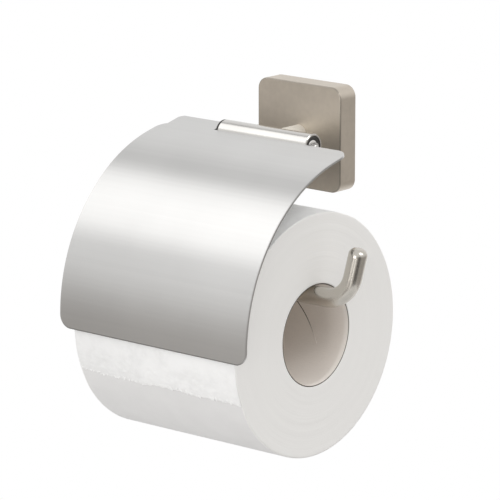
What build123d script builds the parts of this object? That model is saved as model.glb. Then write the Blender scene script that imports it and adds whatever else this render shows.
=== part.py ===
"""Toilet paper holder with a hinged cover, as separate solids in one shared frame.

Millimetres, +Z up. The origin is the middle of the wall plate's back face, on the wall.
X runs to the right along the wall and -Y points out into the room.
"""
import math
import os

from build123d import *

# How far a fused piece reaches into its neighbour, and a cut runs past a face
fuse_depth = 0.5
cut_past = 1.0

# Wall plate
plate_side = 50.0
plate_depth = 11.0
plate_corner = 5.5
plate_front_rounding = 0.6
plate_wall = 2.4
plate_face = 2.6

# Bracket that is screwed to the wall, inside the plate
bracket_thickness = 2.0
bracket_width = 36.0
bracket_gap = 0.3
wall_hole_dia = 4.6
wall_hole_spacing = 22.0
bracket_corner = 3.0
rib_width = 16.0
rib_overlap = 2.6
rib_step = 1.6
riser_height = 4.0
tab_margin = 0.6

# Screw that locks the plate on the bracket
set_screw_dia = 4.0
set_screw_length = 5.6
set_screw_depth = 5.6
set_screw_sunk = 0.2
set_screw_bevel = 0.4
set_screw_socket_radius = 1.15
set_screw_socket_depth = 2.4
boss_dia = 8.0
boss_drop = 0.6

# Neck with its screw
rod_dia = 8.8
neck_height = 0.6
neck_screw_dia = 5.0
neck_screw_reach = 8.0
neck_screw_head_dia = 8.6
neck_screw_head = 2.8
neck_screw_head_bevel = 0.8
neck_screw_socket_radius = 1.75
neck_screw_socket_depth = 1.7
neck_screw_run_out = 1.5
washer_dia = 10.0
washer_thickness = 0.8
thread_gap = 0.1

# Hinge
hinge_reach = 36.0
hinge_height = 2.0
tube_dia = 12.2
tube_wall = 0.9
tube_length = 53.2
tube_middle = 2.6
tube_end_bevel = 0.3
bush_length = 8.0
right_flange = 0.3
right_flange_dia = 11.2
left_flange = 0.9
left_flange_dia = 12.0
pin_dia = 6.4
pin_bevel = 0.4
pin_short_of_bush = 1.0
pin_running_gap = 0.05
pin_spigot_dia = 2.4
pin_proud = 0.3
pin_spigot_bevel = 0.24
lug_gap = 0.3
lug_thickness = 0.9
lug_radius = 2.2
lug_foot = 8.0
lug_foot_front = 1.0
lug_strap_depth = 2.4

# Paper roll on its core
roll_length = 97.8
roll_radius = 57.0
roll_edge = 0.3
sheet_thickness = 0.35
core_bore_radius = 23.4
core_wall = 0.9
roll_wall_gap = 0.35
roll_below_cover_axis = 3.4
tail_end_angle = 23.0
tail_wrap = 130.0
tail_wedge_steps = 4

# Cover
cover_thickness = 0.9
cover_width = 112.4
cover_gap = 0.35
cover_tilt = 13.3
cover_lift = 2.7
cover_skirt = 5.4
cover_back_corner = 7.0
cover_low_corner = 6.0
notch_gap = 0.4
lobe_side_gap = 0.3
lobe_width = 27.9
lobe_beyond_axis = 3.0
lobe_corner = 3.0

# Roll arm
bend_radius = 8.8
arm_root_x = 13.0
arm_run_drop = 16.5
hang_gap = 0.35
hook_bend_radius = 16.0
hook_start = 5.7
hook_lean = 14.5
hook_rise = 13.9
hook_rounding = 3.2

# Values worked out from the sizes above
rod_r = rod_dia / 2
tube_r = tube_dia / 2
tube_bore_r = tube_r - tube_wall
hinge_y = -hinge_reach
hinge_z = hinge_height
tilt = math.radians(cover_tilt)
cover_inner_radius = 2 * roll_radius + roll_wall_gap + cover_gap - hinge_reach
cover_radius = cover_inner_radius + cover_thickness
cover_axis_z = hinge_z - (cover_inner_radius - cover_lift) / math.cos(tilt)
roll_y = -(roll_radius + roll_wall_gap)
roll_z = cover_axis_z - roll_below_cover_axis
paper_radius = roll_radius - sheet_thickness
core_radius = core_bore_radius + core_wall
bar_z = roll_z + core_bore_radius - hang_gap - rod_r
tube_right = tube_middle + tube_length / 2
tube_left = tube_middle - tube_length / 2
pin_tip_x = tube_right - bush_length + pin_short_of_bush
set_screw_y = -set_screw_depth
set_screw_top = -plate_side / 2 + set_screw_length
bracket_top = plate_side / 2 - plate_wall - rib_overlap - bracket_gap

# Frame of the flat back part of the cover: across, backwards, outwards
flat_front = Vector(
    0,
    hinge_y - cover_radius * math.sin(tilt),
    cover_axis_z + cover_radius * math.cos(tilt),
)
flat_plane = Plane(
    origin=flat_front,
    x_dir=(1, 0, 0),
    z_dir=(0, -math.sin(tilt), math.cos(tilt)),
)
axis_in_flat = flat_plane.to_local_coords(Vector(0, hinge_y, hinge_z))
axis_back = axis_in_flat.Y
axis_below = axis_in_flat.Z


def cylinder_x(radius, x_from, x_to, y, z):
    """Round bar along X between two X values."""
    plane = Plane(origin=(x_from, y, z), x_dir=(0, 1, 0), z_dir=(1, 0, 0))
    return extrude(plane * Circle(radius), x_to - x_from)


def cylinder_front(radius, y_from, y_to, x, z):
    """Round bar along the depth, from the back value to the front value."""
    plane = Plane(origin=(x, y_from, z), x_dir=(1, 0, 0), z_dir=(0, -1, 0))
    return extrude(plane * Circle(radius), y_from - y_to)


def cylinder_z(radius, z_from, z_to, x, y):
    """Upright round bar between two heights."""
    return extrude(Plane.XY.offset(z_from) * Pos(x, y) * Circle(radius), z_to - z_from)


def block(x_from, x_to, y_from, y_to, z_from, z_to):
    """Box given by its six faces."""
    size = Box(x_to - x_from, y_to - y_from, z_to - z_from, align=Align.MIN)
    return Pos(x_from, y_from, z_from) * size


def mirrored(shape):
    """The same solid at the other end of the hinge tube."""
    return mirror(shape, about=Plane.YZ.offset(tube_middle))


def make_wall_plate():
    """Hollow square plate, open at the back, with a screw boss and a hanging rib."""
    inner_side = plate_side - 2 * plate_wall
    cavity_depth = plate_depth - plate_face
    outside = extrude(Plane.XZ * RectangleRounded(plate_side, plate_side, plate_corner), plate_depth)
    front_edges = outside.faces().sort_by(Axis.Y)[0].edges()
    outside = fillet(front_edges, plate_front_rounding)
    cavity = extrude(
        Plane.XZ * RectangleRounded(inner_side, inner_side, plate_corner - plate_wall), cavity_depth
    )
    shell = outside - cavity
    boss = cylinder_z(boss_dia / 2, -inner_side / 2 - fuse_depth, set_screw_top - boss_drop, 0, set_screw_y)
    rib = block(
        -rib_width / 2,
        rib_width / 2,
        -bracket_thickness - rib_step + bracket_gap,
        -bracket_gap,
        inner_side / 2 - rib_overlap,
        inner_side / 2 + fuse_depth,
    )
    shell = shell + boss + rib
    shell = shell - cylinder_z(
        set_screw_dia / 2 + thread_gap, -plate_side, set_screw_top + cut_past, 0, set_screw_y
    )
    return shell - cylinder_front(
        neck_screw_dia / 2 + thread_gap, 0, -2 * plate_depth, 0, neck_height
    )


def make_wall_bracket():
    """Flat plate with two wall screw holes, a hanging hook above and a tab below."""
    half = bracket_width / 2
    base = block(-half, half, -bracket_thickness, 0, set_screw_top, bracket_top)
    base = fillet(base.edges().filter_by(Axis.Y), bracket_corner)
    hook_back = -bracket_thickness - rib_step
    riser = block(
        -rib_width / 2,
        rib_width / 2,
        hook_back - bracket_thickness,
        0,
        bracket_top - riser_height,
        bracket_top,
    )
    hook = block(
        -rib_width / 2,
        rib_width / 2,
        hook_back - bracket_thickness,
        hook_back,
        bracket_top - fuse_depth,
        bracket_top + rib_overlap - bracket_gap,
    )
    tab = block(
        -rib_width / 2,
        rib_width / 2,
        set_screw_y - set_screw_dia / 2 - tab_margin,
        0,
        set_screw_top,
        set_screw_top + bracket_thickness,
    )
    bracket = base + riser + hook + tab
    for side in (-1, 1):
        bracket = bracket - cylinder_front(
            wall_hole_dia / 2, cut_past, -plate_depth, side * wall_hole_spacing / 2, 0
        )
    return bracket


def make_set_screw():
    """Short headless screw with a hexagon socket at its lower end."""
    bottom = -plate_side / 2 + set_screw_sunk
    screw = cylinder_z(set_screw_dia / 2, bottom, set_screw_top, 0, set_screw_y)
    screw = chamfer(screw.edges().filter_by(GeomType.CIRCLE), set_screw_bevel)
    socket = extrude(
        Plane.XY.offset(bottom) * Pos(0, set_screw_y) * RegularPolygon(set_screw_socket_radius, 6),
        set_screw_socket_depth,
    )
    return screw - socket


def make_neck():
    """Round bar from the plate to the hinge tube, shaped to the tube at its front end."""
    bar = cylinder_front(rod_r, -plate_depth, hinge_y, 0, neck_height)
    saddle = cylinder_x(tube_r, -2 * rod_r, 2 * rod_r, hinge_y, hinge_z)
    hole = cylinder_front(
        neck_screw_dia / 2 + thread_gap,
        -plate_depth + cut_past,
        -plate_depth - neck_screw_reach - neck_screw_run_out,
        0,
        neck_height,
    )
    return bar - saddle - hole


def make_neck_screw():
    """Pan head screw that holds the neck from inside the plate."""
    seat = -plate_depth + plate_face + washer_thickness
    shank = cylinder_front(
        neck_screw_dia / 2, seat + fuse_depth, -plate_depth - neck_screw_reach, 0, neck_height
    )
    head = cylinder_front(
        neck_screw_head_dia / 2, seat + neck_screw_head, seat, 0, neck_height
    )
    head = chamfer(head.faces().sort_by(Axis.Y)[-1].edges(), neck_screw_head_bevel)
    recess = extrude(
        Plane(origin=(0, seat + neck_screw_head, neck_height), x_dir=(1, 0, 0), z_dir=(0, -1, 0))
        * RegularPolygon(neck_screw_socket_radius, 6),
        neck_screw_socket_depth,
    )
    return head + shank - recess


def make_neck_washer():
    """Flat washer under the neck screw's head."""
    seat = -plate_depth + plate_face
    ring = cylinder_front(washer_dia / 2, seat + washer_thickness, seat, 0, neck_height)
    hole = cylinder_front(
        neck_screw_dia / 2 + thread_gap,
        seat + washer_thickness + cut_past,
        seat - cut_past,
        0,
        neck_height,
    )
    return ring - hole


def make_hinge_tube():
    """Round tube along X that carries the cover."""
    outside = cylinder_x(tube_r, tube_left, tube_right, hinge_y, hinge_z)
    bore = cylinder_x(tube_bore_r, tube_left - cut_past, tube_right + cut_past, hinge_y, hinge_z)
    tube = outside - bore
    rims = tube.edges().filter_by(GeomType.CIRCLE).sort_by(SortBy.RADIUS)[-2:]
    return chamfer(rims, tube_end_bevel)


def make_hinge_bush(flange, flange_dia):
    """Plain bush in the right end of the tube, with a flange outside it."""
    bush_face = tube_right + flange
    body = cylinder_x(tube_bore_r, tube_right - bush_length, tube_right, hinge_y, hinge_z)
    rim = cylinder_x(flange_dia / 2, tube_right, bush_face, hinge_y, hinge_z)
    bore = cylinder_x(
        pin_dia / 2 + pin_running_gap,
        tube_right - bush_length - cut_past,
        bush_face + cut_past,
        hinge_y,
        hinge_z,
    )
    return body + rim - bore


def make_hinge_pin(flange):
    """Right hinge pin: a shank that ends flush with the bush, and a thin spigot riveted in the lug."""
    bush_face = tube_right + flange
    spigot_tip = bush_face + lug_gap + lug_thickness + pin_proud
    shank = cylinder_x(pin_dia / 2, pin_tip_x, bush_face, hinge_y, hinge_z)
    shank = chamfer(shank.edges().filter_by(GeomType.CIRCLE).sort_by(Axis.X)[0], pin_bevel)
    spigot = cylinder_x(pin_spigot_dia / 2, bush_face - fuse_depth, spigot_tip, hinge_y, hinge_z)
    spigot = chamfer(spigot.edges().filter_by(GeomType.CIRCLE).sort_by(Axis.X)[-1], pin_spigot_bevel)
    return shank + spigot


def make_hinge_lug(flange):
    """Right lug: an upright plate round the pin with a foot under the cover."""
    lug_x = tube_right + flange + lug_gap
    under = -cover_thickness
    side_plane = Plane(
        origin=flat_front + Vector(lug_x, 0, 0),
        x_dir=flat_plane.y_dir,
        z_dir=(1, 0, 0),
    )
    foot_back = axis_back - tube_r
    strap = Polygon(
        (lug_foot_front, under),
        (lug_foot_front, under - lug_strap_depth),
        (axis_back, axis_below - lug_radius),
        (axis_back, axis_below + lug_radius),
        align=None,
    )
    outline = strap + Pos(axis_back, axis_below) * Circle(lug_radius)
    upright = extrude(side_plane * outline, lug_thickness)
    foot_sketch = Pos(lug_x, lug_foot_front) * Rectangle(
        lug_foot + lug_thickness, foot_back - lug_foot_front, align=Align.MIN
    )
    foot = extrude(flat_plane.offset(under) * foot_sketch, -lug_thickness)
    lug = upright + foot
    return lug - cylinder_x(
        pin_spigot_dia / 2, lug_x - cut_past, lug_x + lug_thickness + cut_past, hinge_y, hinge_z
    )


def make_cover():
    """Bent sheet: a flat back part with a lobe on the left, an arc and a short straight skirt."""
    half = cover_width / 2
    notch_edge = axis_back - math.sqrt((tube_r + notch_gap) ** 2 - cover_lift**2)
    lobe_right = tube_left - left_flange - lobe_side_gap
    lobe_left = lobe_right - lobe_width
    lobe_end = axis_back + lobe_beyond_axis
    main = Pos(0, 0) * Rectangle(cover_width, notch_edge, align=(Align.CENTER, Align.MIN))
    main = fillet(main.vertices().group_by(Axis.Y)[-1], cover_back_corner)
    lobe = Pos(lobe_left, 0) * Rectangle(lobe_width, lobe_end, align=Align.MIN)
    lobe = fillet(lobe.vertices().group_by(Axis.Y)[-1], lobe_corner)
    back_part = extrude(flat_plane * (main + lobe), -cover_thickness)

    def on_arc(radius, degrees_from_top):
        turn = math.radians(degrees_from_top)
        return (hinge_y - radius * math.sin(turn), cover_axis_z + radius * math.cos(turn))

    middle = (cover_tilt + 90) / 2
    low = cover_axis_z - cover_skirt
    inner = cover_inner_radius
    with BuildSketch(Plane.YZ.offset(-half)) as profile:
        with BuildLine():
            ThreePointArc(
                on_arc(cover_radius, cover_tilt), on_arc(cover_radius, middle), on_arc(cover_radius, 90)
            )
            Line(on_arc(cover_radius, 90), (hinge_y - cover_radius, low))
            Line((hinge_y - cover_radius, low), (hinge_y - inner, low))
            Line((hinge_y - inner, low), on_arc(inner, 90))
            ThreePointArc(on_arc(inner, 90), on_arc(inner, middle), on_arc(inner, cover_tilt))
            Line(on_arc(inner, cover_tilt), on_arc(cover_radius, cover_tilt))
        make_face()
    front_part = extrude(profile.sketch, cover_width)
    low_corners = front_part.edges().filter_by(Axis.Y).group_by(Axis.Z)[0]
    front_part = fillet(low_corners, cover_low_corner)
    return back_part + front_part


def bent_path(points, radii):
    """Straight pieces joined by tangent bends, one radius for each inner point."""
    edges = []
    start = Vector(points[0])
    for before, corner, after, radius in zip(points, points[1:], points[2:], radii):
        corner = Vector(corner)
        back = (Vector(before) - corner).normalized()
        ahead = (Vector(after) - corner).normalized()
        half_angle = math.radians(back.get_angle(ahead)) / 2
        reach = radius / math.tan(half_angle)
        bisector = (back + ahead).normalized()
        first = corner + back * reach
        last = corner + ahead * reach
        middle = corner + bisector * (radius / math.sin(half_angle) - radius)
        edges.append(Line(start, first))
        edges.append(ThreePointArc(first, middle, last))
        start = last
    edges.append(Line(start, Vector(points[-1])))
    return Wire(edges)


def make_roll_arm():
    """Bent round bar from under the hinge tube, down past the roll and back through its core."""
    run_z = hinge_z - arm_run_drop
    leg_x = -(roll_length / 2 + bend_radius)
    lean = math.radians(hook_lean)
    turn = math.pi / 2 - lean
    corner_x = roll_length / 2 + hook_start + hook_bend_radius * math.tan(turn / 2)
    rise = hook_bend_radius * math.tan(turn / 2) + hook_rise
    points = [
        (-arm_root_x, hinge_y, hinge_z),
        (-arm_root_x, hinge_y, run_z),
        (leg_x, hinge_y, run_z),
        (leg_x, roll_y, bar_z),
        (corner_x, roll_y, bar_z),
        (corner_x + rise * math.sin(lean), roll_y, bar_z + rise * math.cos(lean)),
    ]
    radii = [bend_radius, bend_radius, bend_radius, hook_bend_radius]
    path = bent_path(points, radii)
    bar = sweep(Plane(origin=points[0], z_dir=(0, 0, -1)) * Circle(rod_r), path=path)
    tip = bar.edges().filter_by(GeomType.CIRCLE).sort_by(Axis.X)[-1]
    bar = fillet(tip, hook_rounding)
    return bar - cylinder_x(tube_r, tube_left, tube_right, hinge_y, hinge_z)


def make_core_tube():
    """Cardboard tube in the middle of the roll."""
    half = roll_length / 2
    outside = cylinder_x(core_radius, -half, half, roll_y, roll_z)
    return outside - cylinder_x(core_bore_radius, -half - cut_past, half + cut_past, roll_y, roll_z)


def make_paper_roll():
    """The wound paper, without its outermost sheet."""
    half = roll_length / 2
    outside = cylinder_x(paper_radius, -half, half, roll_y, roll_z)
    outside = chamfer(outside.edges().filter_by(GeomType.CIRCLE), roll_edge)
    return outside - cylinder_x(core_radius, -half - cut_past, half + cut_past, roll_y, roll_z)


def make_tail_sheet():
    """Outermost sheet, lying on the roll from under the cover down to its torn end."""
    half = roll_length / 2 - roll_edge
    ring = cylinder_x(roll_radius, -half, half, roll_y, roll_z)
    ring = ring - cylinder_x(paper_radius, -half - cut_past, half + cut_past, roll_y, roll_z)
    wedge_plane = Plane(origin=(-half - cut_past, roll_y, roll_z), x_dir=(0, 1, 0), z_dir=(1, 0, 0))
    reach = 2 * roll_radius
    corners = [(0, 0)]
    for step in range(tail_wedge_steps + 1):
        turn = math.radians(180 + tail_end_angle - tail_wrap * (1 - step / tail_wedge_steps))
        corners.append((reach * math.cos(turn), reach * math.sin(turn)))
    wedge = extrude(wedge_plane * Polygon(*corners, align=None), roll_length + 2 * cut_past)
    return ring & wedge


def main():
    """Build every solid and write one STEP file for each."""
    cover = make_cover()
    parts = {
        "wall_plate": make_wall_plate(),
        "wall_bracket": make_wall_bracket(),
        "set_screw": make_set_screw(),
        "neck": make_neck(),
        "neck_screw": make_neck_screw(),
        "neck_washer": make_neck_washer(),
        "hinge_tube": make_hinge_tube(),
        "hinge_bush_right": make_hinge_bush(right_flange, right_flange_dia),
        "hinge_bush_left": mirrored(make_hinge_bush(left_flange, left_flange_dia)),
        "hinge_pin_right": make_hinge_pin(right_flange),
        "hinge_pin_left": mirrored(make_hinge_pin(left_flange)),
        "hinge_lug_right": make_hinge_lug(right_flange) - cover,
        "hinge_lug_left": mirrored(make_hinge_lug(left_flange)) - cover,
        "cover": cover,
        "roll_arm": make_roll_arm(),
        "core_tube": make_core_tube(),
        "paper_roll": make_paper_roll(),
        "tail_sheet": make_tail_sheet(),
    }
    os.makedirs("parts", exist_ok=True)
    for name, solid in parts.items():
        export_step(solid, f"parts/{name}.step")


main()
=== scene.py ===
"""Looks of a wall-mounted toilet paper holder with a hinged cover.

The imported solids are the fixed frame: metres, +Z up, +X to the right along the wall, +Y into the wall.
"""
import logging
import math
from dataclasses import dataclass, field
from enum import Enum
from typing import Any, Union

import bpy
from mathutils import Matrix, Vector


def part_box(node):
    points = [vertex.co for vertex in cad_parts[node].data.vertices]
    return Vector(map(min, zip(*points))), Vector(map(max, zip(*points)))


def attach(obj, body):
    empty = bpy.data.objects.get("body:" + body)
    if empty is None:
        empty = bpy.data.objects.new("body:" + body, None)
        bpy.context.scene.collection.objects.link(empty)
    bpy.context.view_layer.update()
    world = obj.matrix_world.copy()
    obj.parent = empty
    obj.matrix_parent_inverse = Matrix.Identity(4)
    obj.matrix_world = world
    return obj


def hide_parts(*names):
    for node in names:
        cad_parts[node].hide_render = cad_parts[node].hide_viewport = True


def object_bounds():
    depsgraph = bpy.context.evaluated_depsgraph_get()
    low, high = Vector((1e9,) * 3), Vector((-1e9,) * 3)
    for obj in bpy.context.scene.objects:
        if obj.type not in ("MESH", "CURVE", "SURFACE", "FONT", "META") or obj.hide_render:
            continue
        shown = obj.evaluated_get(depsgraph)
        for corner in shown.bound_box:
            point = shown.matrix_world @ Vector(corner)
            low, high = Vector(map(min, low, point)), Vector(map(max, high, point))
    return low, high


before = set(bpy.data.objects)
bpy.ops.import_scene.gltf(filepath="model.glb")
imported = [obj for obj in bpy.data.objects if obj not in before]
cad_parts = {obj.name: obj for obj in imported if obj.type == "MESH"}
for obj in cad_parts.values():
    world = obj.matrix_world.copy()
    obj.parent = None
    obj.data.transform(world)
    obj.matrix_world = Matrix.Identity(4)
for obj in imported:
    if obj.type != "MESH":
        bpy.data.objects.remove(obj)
CAD_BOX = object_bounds()
LOG = logging.getLogger("paper_holder")
MM = 0.001
TURN = 2 * math.pi
Colour = tuple[float, float, float]
Socket = bpy.types.NodeSocket
Number = Union["Value", float]


class Value:
    """A number in a node tree. Arithmetic on it adds Math nodes to the tree."""

    def __init__(self, graph: "Graph", socket: Socket) -> None:
        """Keep the tree and the output socket that gives the number."""
        self.graph = graph
        self.socket = socket

    def __add__(self, other: Number) -> "Value":
        """Sum."""
        return self.graph.math("ADD", self, other)

    def __radd__(self, other: Number) -> "Value":
        """Sum with a plain number first."""
        return self.graph.math("ADD", other, self)

    def __sub__(self, other: Number) -> "Value":
        """Difference."""
        return self.graph.math("SUBTRACT", self, other)

    def __rsub__(self, other: Number) -> "Value":
        """Difference with a plain number first."""
        return self.graph.math("SUBTRACT", other, self)

    def __mul__(self, other: Number) -> "Value":
        """Product."""
        return self.graph.math("MULTIPLY", self, other)

    def __rmul__(self, other: Number) -> "Value":
        """Product with a plain number first."""
        return self.graph.math("MULTIPLY", other, self)

    def __truediv__(self, other: Number) -> "Value":
        """Quotient."""
        return self.graph.math("DIVIDE", self, other)

    def __rtruediv__(self, other: Number) -> "Value":
        """Quotient with a plain number first."""
        return self.graph.math("DIVIDE", other, self)

    def __pow__(self, other: Number) -> "Value":
        """Power."""
        return self.graph.math("POWER", self, other)

    def __abs__(self) -> "Value":
        """Size without sign."""
        return self.graph.math("ABSOLUTE", self)

    def sin(self) -> "Value":
        """Sine of an angle in radians."""
        return self.graph.math("SINE", self)

    def cos(self) -> "Value":
        """Cosine of an angle in radians."""
        return self.graph.math("COSINE", self)

    def root(self) -> "Value":
        """Square root."""
        return self.graph.math("SQRT", self)

    def hypot(self, other: "Value") -> "Value":
        """Length of the diagonal over two sides."""
        return (self * self + other * other).root()

    def at_least(self, other: Number) -> "Value":
        """The larger of two numbers."""
        return self.graph.math("MAXIMUM", self, other)

    def at_most(self, other: Number) -> "Value":
        """The smaller of two numbers."""
        return self.graph.math("MINIMUM", self, other)

    def zigzag(self, height: Number) -> "Value":
        """Up and down between 0 and a height."""
        return self.graph.math("PINGPONG", self, height)

    def between(self, low: float, high: float) -> "Value":
        """A smooth step.

        Args:
            low: Number at which the step starts.
            high: Number at which the step is complete.

        Returns:
            0 before low, 1 after high, smooth in between.
        """
        node = self.graph.node(
            "ShaderNodeMapRange",
            {"interpolation_type": "SMOOTHSTEP"},
            {"Value": self, "From Min": low, "From Max": high},
        )
        return Value(self.graph, node.outputs[0])


class Graph:
    """A node tree that is written as expressions."""

    def __init__(self, tree: bpy.types.NodeTree) -> None:
        """Keep the tree that the nodes go into."""
        self.tree = tree

    @staticmethod
    def find(sockets: bpy.types.bpy_prop_collection, key: int | str) -> Socket:
        """Look a socket up.

        Args:
            sockets: A node's inputs or outputs.
            key: Position, identifier or name.

        Returns:
            The socket.
        """
        if isinstance(key, int):
            return sockets[key]
        for socket in sockets:
            if socket.identifier == key:
                return socket
        return sockets[key]

    def feed(self, socket: Socket, given: Any) -> None:
        """Link a source to an input, or set a constant on it.

        Args:
            socket: The input.
            given: Value, output socket or constant.
        """
        if isinstance(given, Value):
            self.tree.links.new(given.socket, socket)
        elif isinstance(given, Socket):
            self.tree.links.new(given, socket)
        else:
            socket.default_value = given

    def node(
        self,
        kind: str,
        settings: dict[str, Any] | None = None,
        inputs: dict[int | str, Any] | None = None,
    ) -> bpy.types.Node:
        """Add a node.

        Args:
            kind: Blender's name of the node type.
            settings: Properties, set first.
            inputs: Constants, values or sockets for the node's inputs; all of a list go to one input.

        Returns:
            The new node.
        """
        node = self.tree.nodes.new(kind)
        for name, setting in (settings or {}).items():
            setattr(node, name, setting)
        for key, given in (inputs or {}).items():
            for source in given if isinstance(given, list) else [given]:
                self.feed(self.find(node.inputs, key), source)
        return node

    def math(self, operation: str, *operands: Number) -> Value:
        """Add one Math node.

        Args:
            operation: Blender's name of the operation.
            operands: Numbers or values, in order.

        Returns:
            The result.
        """
        node = self.node("ShaderNodeMath", {"operation": operation}, dict(enumerate(operands)))
        return Value(self, node.outputs[0])

    def parts(self, vector: Socket) -> tuple[Value, Value, Value]:
        """Split a vector into its three numbers."""
        node = self.node("ShaderNodeSeparateXYZ", inputs={0: vector})
        return tuple(Value(self, socket) for socket in node.outputs)

    def vector(self, x: Number, y: Number, z: Number) -> Socket:
        """Join three numbers into a vector."""
        return self.node("ShaderNodeCombineXYZ", inputs={0: x, 1: y, 2: z}).outputs[0]

    def noise(self, vector: Socket, scale: float = 1.0, detail: float = 2.0) -> Value:
        """Add a noise texture.

        Args:
            vector: Where the noise is read.
            scale: Features for each unit of the vector.
            detail: Number of finer octaves.

        Returns:
            A number round 0.5.
        """
        node = self.node("ShaderNodeTexNoise", inputs={"Vector": vector, "Scale": scale, "Detail": detail})
        return Value(self, node.outputs[0])

    def mix(self, factor: Number, first: Colour | Socket, second: Colour | Socket) -> Socket:
        """Mix two colours.

        Args:
            factor: 0 for the first colour, 1 for the second.
            first: Colour or socket.
            second: Colour or socket.

        Returns:
            The mixed colour's socket.
        """
        colours = [(*c, 1.0) if isinstance(c, tuple) else c for c in (first, second)]
        node = self.node(
            "ShaderNodeMix",
            {"data_type": "RGBA"},
            {"Factor_Float": factor, "A_Color": colours[0], "B_Color": colours[1]},
        )
        return self.find(node.outputs, "Result_Color")


class Shade(Graph):
    """A material's node tree with one Principled shader."""

    def __init__(self, name: str) -> None:
        """Start a material.

        Args:
            name: Name of the material.
        """
        self.material = bpy.data.materials.new(name)
        self.material.use_nodes = True
        super().__init__(self.material.node_tree)
        self.tree.nodes.clear()
        self.shader = self.node("ShaderNodeBsdfPrincipled")
        self.output = self.node("ShaderNodeOutputMaterial", inputs={"Surface": self.shader.outputs[0]})
        self.place = self.node("ShaderNodeTexCoord").outputs["Object"]

    def set(self, **sockets: Any) -> None:
        """Set or link the shader's sockets, with _ for a space in their names."""
        for name, given in sockets.items():
            self.feed(self.shader.inputs[name.replace("_", " ")], given)

    def stretched(self, scale: tuple[float, float, float]) -> Socket:
        """Object coordinates times a scale for each axis."""
        node = self.node("ShaderNodeVectorMath", {"operation": "MULTIPLY"}, {0: self.place, 1: scale})
        return node.outputs[0]

    def bump(self, height: Value, depth: float, strength: float = 1.0) -> None:
        """Feed a height from 0 to 1, of that depth in metres, to the shader's normal."""
        node = self.node("ShaderNodeBump", inputs={"Height": height, "Distance": depth, "Strength": strength})
        self.set(Normal=node.outputs[0])


class Body(Enum):
    """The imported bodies."""

    HOLDER = "holder"
    FLAP = "cover_flap"
    PAPER = "paper"


class Rod(Enum):
    """The two rods that end on the hinge tube."""

    FROM_WALL = "neck"
    HANGING = "arm"


def shaded(colour: Colour, share: float) -> Colour:
    """A colour times a share."""
    return tuple(min(1.0, part * share) for part in colour)


class Grain(Enum):
    """Direction of the fine lines in a metal's surface, as a stretch for each axis."""

    ALONG_X = (0.004, 1.0, 1.0)
    ALONG_Y = (1.0, 0.004, 1.0)
    BLASTED = (1.0, 1.0, 1.0)


@dataclass(frozen=True)
class Metal:
    """A metal with fine grain, slow mottling and a little wear."""

    name: str
    colour: Colour
    roughness: float
    grain: Grain = Grain.BLASTED
    lines_per_metre: float = 2600.0
    line_depth: float = 0.006 * MM
    roughness_swing: float = 0.10
    mottle_per_metre: float = 45.0
    mottle_share: float = 0.06
    streak_scale: float = 0.22

    def material(self) -> bpy.types.Material:
        """Build the material.

        Returns:
            A new material with grain in its colour, roughness and normal.
        """
        shade = Shade(self.name)
        scale = tuple(axis * self.lines_per_metre for axis in self.grain.value)
        lines = shade.noise(shade.stretched(scale), detail=3.0)
        streaks = shade.noise(shade.stretched(tuple(axis * self.streak_scale for axis in scale)), detail=1.0)
        mottle = shade.noise(shade.place, scale=self.mottle_per_metre, detail=3.0)
        tone = (mottle * 0.6 + streaks * 0.4).between(0.3, 0.7)
        uneven = lines * 0.5 + streaks * 0.3 + mottle * 0.2 - 0.5
        dark = shaded(self.colour, 1 - self.mottle_share)
        light = shaded(self.colour, 1 + self.mottle_share / 2)
        shade.set(
            Base_Color=self._with_edges(shade, shade.mix(tone, dark, light)),
            Metallic=1.0,
            Roughness=self.roughness + uneven * self.roughness_swing,
        )
        shade.bump(lines, self.line_depth)
        return shade.material

    def _with_edges(self, shade: Shade, colour: Socket) -> Socket:
        """Colour with the edges of the piece marked; a plain metal has none."""
        return colour


@dataclass(frozen=True)
class CutSheet(Metal):
    """A metal sheet with painted shade along its cut edges, which follow a rectangle with rounded lower
    corners, and painted light that grows from its left side to its right side.
    """

    half_width: float = 0.0
    low: float = 0.0
    corner: float = 0.0
    # Painted shade: the low cut edge gets the dark line of shade, and the right cut edge gets a share of it.
    low_edge_painted_shade: float = 0.40
    edge_depth: float = 0.8 * MM
    right_edge_painted_shade: float = 0.35
    # Painted light across the sheet: darker at its left side, lighter at its right side.
    left_painted_shade: float = 0.97
    right_painted_light: float = 1.03

    def _with_edges(self, shade: Shade, colour: Socket) -> Socket:
        """Paint shade on the cut edges, found by their distance from the sheet's outline, and paint light
        across the sheet.

        Args:
            shade: The material's tree.
            colour: The sheet's colour.

        Returns:
            The colour, painted darker at the left and lighter at the right, with painted shade dark on the
            low edge and a little dark on the right edge.
        """
        x, _, z = shade.parts(shade.place)
        over_side = (abs(x) - (self.half_width - self.corner)).at_least(0.0)
        over_low = ((self.low + self.corner) - z).at_least(0.0)
        reach = over_side.hypot(over_low)
        edge = reach.between(self.corner - self.edge_depth, self.corner - self.edge_depth / 20)
        # Painted light: the colour is scaled from darker at the left side to lighter at the right side, as
        # light falls across the sheet.
        side = x.between(-self.half_width, self.half_width)
        painted_light_share = self.left_painted_shade + side * (self.right_painted_light - self.left_painted_shade)
        lit = shade.node("ShaderNodeVectorMath", {"operation": "SCALE"}, {"Vector": colour, "Scale": painted_light_share})
        # Painted shade: the dark line of shade along the low cut edge, and a share of it along the right cut
        # edge.
        low_edge = over_low.between(self.corner * 0.5, self.corner)
        painted_edge_shade = low_edge.at_least(x.between(0.0, self.half_width) * self.right_edge_painted_shade)
        return shade.mix(edge * painted_edge_shade, lit.outputs[0], shaded(self.colour, self.low_edge_painted_shade))


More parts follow.
